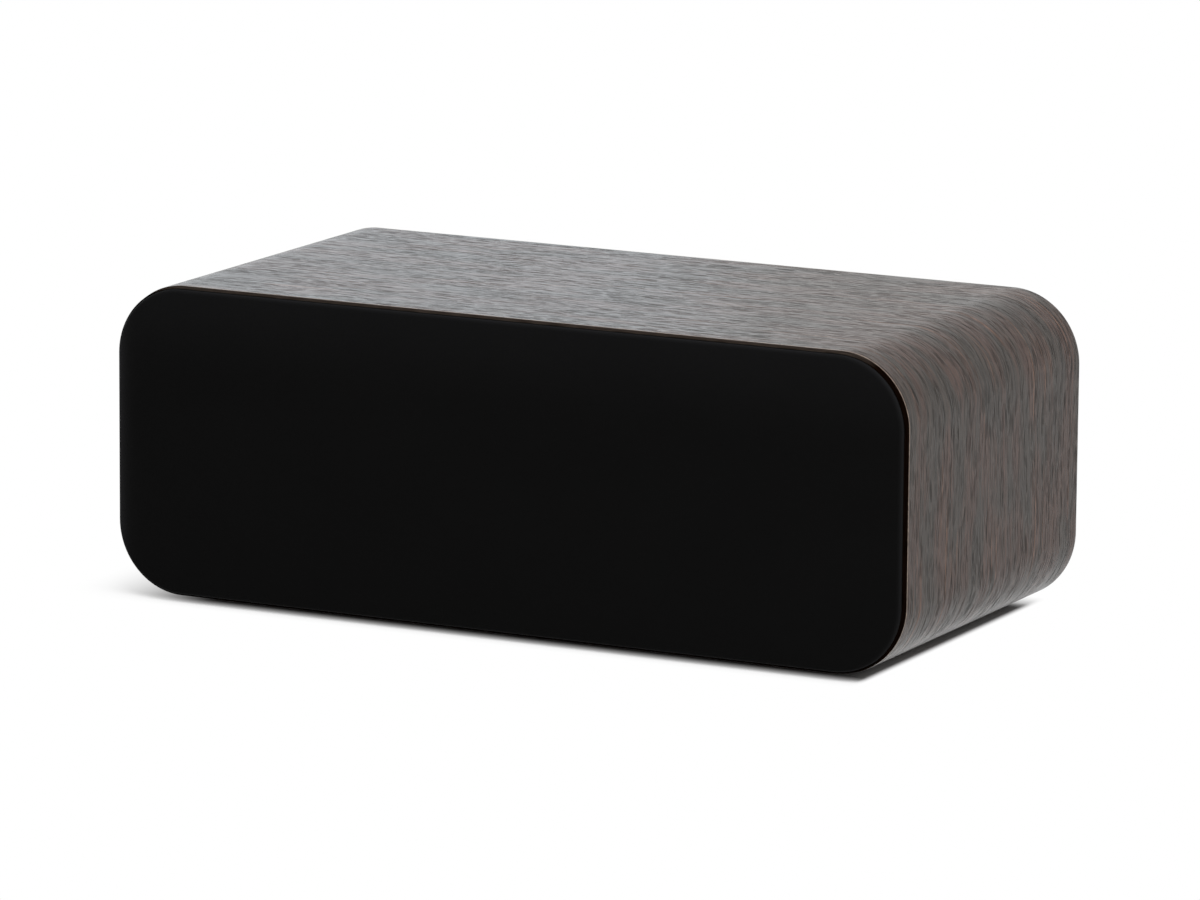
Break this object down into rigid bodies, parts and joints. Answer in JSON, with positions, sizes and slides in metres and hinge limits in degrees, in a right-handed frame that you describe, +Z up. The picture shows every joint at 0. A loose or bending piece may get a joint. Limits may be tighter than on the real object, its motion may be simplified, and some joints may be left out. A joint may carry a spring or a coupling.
{
  "type": "center channel loudspeaker",
  "caption": "Low wide loudspeaker cabinet with rounded long edges in dark veneer and a black cloth grille over woofers and a dome tweeter, for under or over a screen.",
  "frame": {"origin": "on the resting surface under the middle of the loudspeaker", "axes": "+X to the right seen from the listener, +Y to the rear, +Z up; the grille faces -Y"},
  "size_m": [0.43, 0.205, 0.159],
  "materials": {
    "veneer": "dark brown open-grain veneer, satin lacquer",
    "black_board": "black painted fibreboard",
    "raw_board": "raw fibreboard",
    "foam": "open-cell foam",
    "rubber": "matt black rubber",
    "black_plastic": "finely textured black plastic",
    "plated_magnet": "nickel plated",
    "grille_cloth": "black knitted acoustic cloth",
    "black_steel": "black oxide steel",
    "dome_fabric": "doped black fabric",
    "copper": "enamelled copper wire",
    "zinc_steel": "zinc plated steel",
    "ferrite": "sintered ferrite",
    "gold_plate": "gold plated brass",
    "circuit_board": "solder-masked circuit board",
    "white_nylon": "natural nylon",
    "capacitor_film": "film capacitor wrap",
    "ceramic": "ceramic",
    "cast_basket": "black coated cast aluminium",
    "cone_paper": "coated paper pulp",
    "spider_cloth": "resin stiffened cloth",
    "red_knob": "glossy red plastic",
    "black_knob": "glossy black plastic"
  },
  "bodies": {
    "cabinet": {"cabinet_wrap": "veneer", "front_baffle": "black_board", "rear_panel": "black_board", "cabinet_brace_left": "raw_board", "cabinet_brace_right": "raw_board", "damping_pad_left": "foam", "damping_pad_right": "foam", "rubber_feet": "rubber", "port_tube": "black_plastic", "baffle_magnets": "plated_magnet", "woofer_screws": "black_steel", "tweeter_screws": "black_steel", "terminal_screws": "black_steel", "tweeter_faceplate": "black_plastic", "tweeter_top_plate": "zinc_steel", "tweeter_magnet": "ferrite", "tweeter_back_plate": "zinc_steel", "terminal_cup": "black_plastic", "terminal_locknuts": "gold_plate", "crossover_board": "circuit_board", "crossover_standoffs": "white_nylon", "woofer_inductor": "copper", "tweeter_inductor": "copper", "capacitors": "capacitor_film", "resistors": "ceramic", "woofer_left_basket": "cast_basket", "woofer_left_trim_ring": "rubber", "woofer_left_surround": "rubber", "woofer_left_spider": "spider_cloth", "woofer_left_top_plate": "zinc_steel", "woofer_left_magnet": "ferrite", "woofer_left_back_plate": "zinc_steel", "woofer_right_basket": "cast_basket", "woofer_right_trim_ring": "rubber", "woofer_right_surround": "rubber", "woofer_right_spider": "spider_cloth", "woofer_right_top_plate": "zinc_steel", "woofer_right_magnet": "ferrite", "woofer_right_back_plate": "zinc_steel", "terminal_post_red": "gold_plate", "terminal_post_black": "gold_plate"},
    "grille": {"grille_cloth": "grille_cloth", "grille_frame": "black_plastic", "grille_magnets": "plated_magnet"},
    "tweeter_diaphragm": {"tweeter_dome": "dome_fabric", "tweeter_voice_coil": "copper"},
    "woofer_left_diaphragm": {"woofer_left_cone": "cone_paper", "woofer_left_dust_cap": "cone_paper", "woofer_left_voice_coil": "copper"},
    "woofer_right_diaphragm": {"woofer_right_cone": "cone_paper", "woofer_right_dust_cap": "cone_paper", "woofer_right_voice_coil": "copper"},
    "red_washer": {"terminal_washer_red": "gold_plate"},
    "red_knob": {"terminal_knob_red": "red_knob"},
    "black_washer": {"terminal_washer_black": "gold_plate"},
    "black_knob": {"terminal_knob_black": "black_knob"}
  },
  "joints": [
    {"name": "grille_pull", "type": "slide", "parent": "cabinet", "child": "grille", "axis": [0, -1, 0], "range_m": [0, 0.04]},
    {"name": "woofer_left_travel", "type": "slide", "parent": "cabinet", "child": "woofer_left_diaphragm", "axis": [0, -1, 0], "range_m": [-0.003, 0.003], "stiffness_N_per_m": 900, "deforming": ["woofer_left_surround", "woofer_left_spider"]},
    {"name": "woofer_right_travel", "type": "slide", "parent": "cabinet", "child": "woofer_right_diaphragm", "axis": [0, -1, 0], "range_m": [-0.003, 0.003], "stiffness_N_per_m": 900, "deforming": ["woofer_right_surround", "woofer_right_spider"]},
    {"name": "tweeter_travel", "type": "slide", "parent": "cabinet", "child": "tweeter_diaphragm", "axis": [0, -1, 0], "range_m": [-0.0003, 0.0003], "stiffness_N_per_m": 600},
    {"name": "red_washer_lift", "type": "slide", "parent": "cabinet", "child": "red_washer", "axis": [0, 1, 0], "range_m": [0, 0.006]},
    {"name": "red_knob_turn", "type": "hinge", "parent": "red_washer", "child": "red_knob", "pos_m": [0.1185, 0.094, 0.081], "axis": [0, 1, 0], "range_deg": [0, 2880]},
    {"name": "black_washer_lift", "type": "slide", "parent": "cabinet", "child": "black_washer", "axis": [0, 1, 0], "range_m": [0, 0.006]},
    {"name": "black_knob_turn", "type": "hinge", "parent": "black_washer", "child": "black_knob", "pos_m": [0.1375, 0.094, 0.081], "axis": [0, 1, 0], "range_deg": [0, 2880]}
  ],
  "couplings": [
    {"joint": "red_knob_turn", "follows": "red_washer_lift", "rad_per_m": 8377.6},
    {"joint": "black_knob_turn", "follows": "black_washer_lift", "rad_per_m": 8377.6}
  ]
}
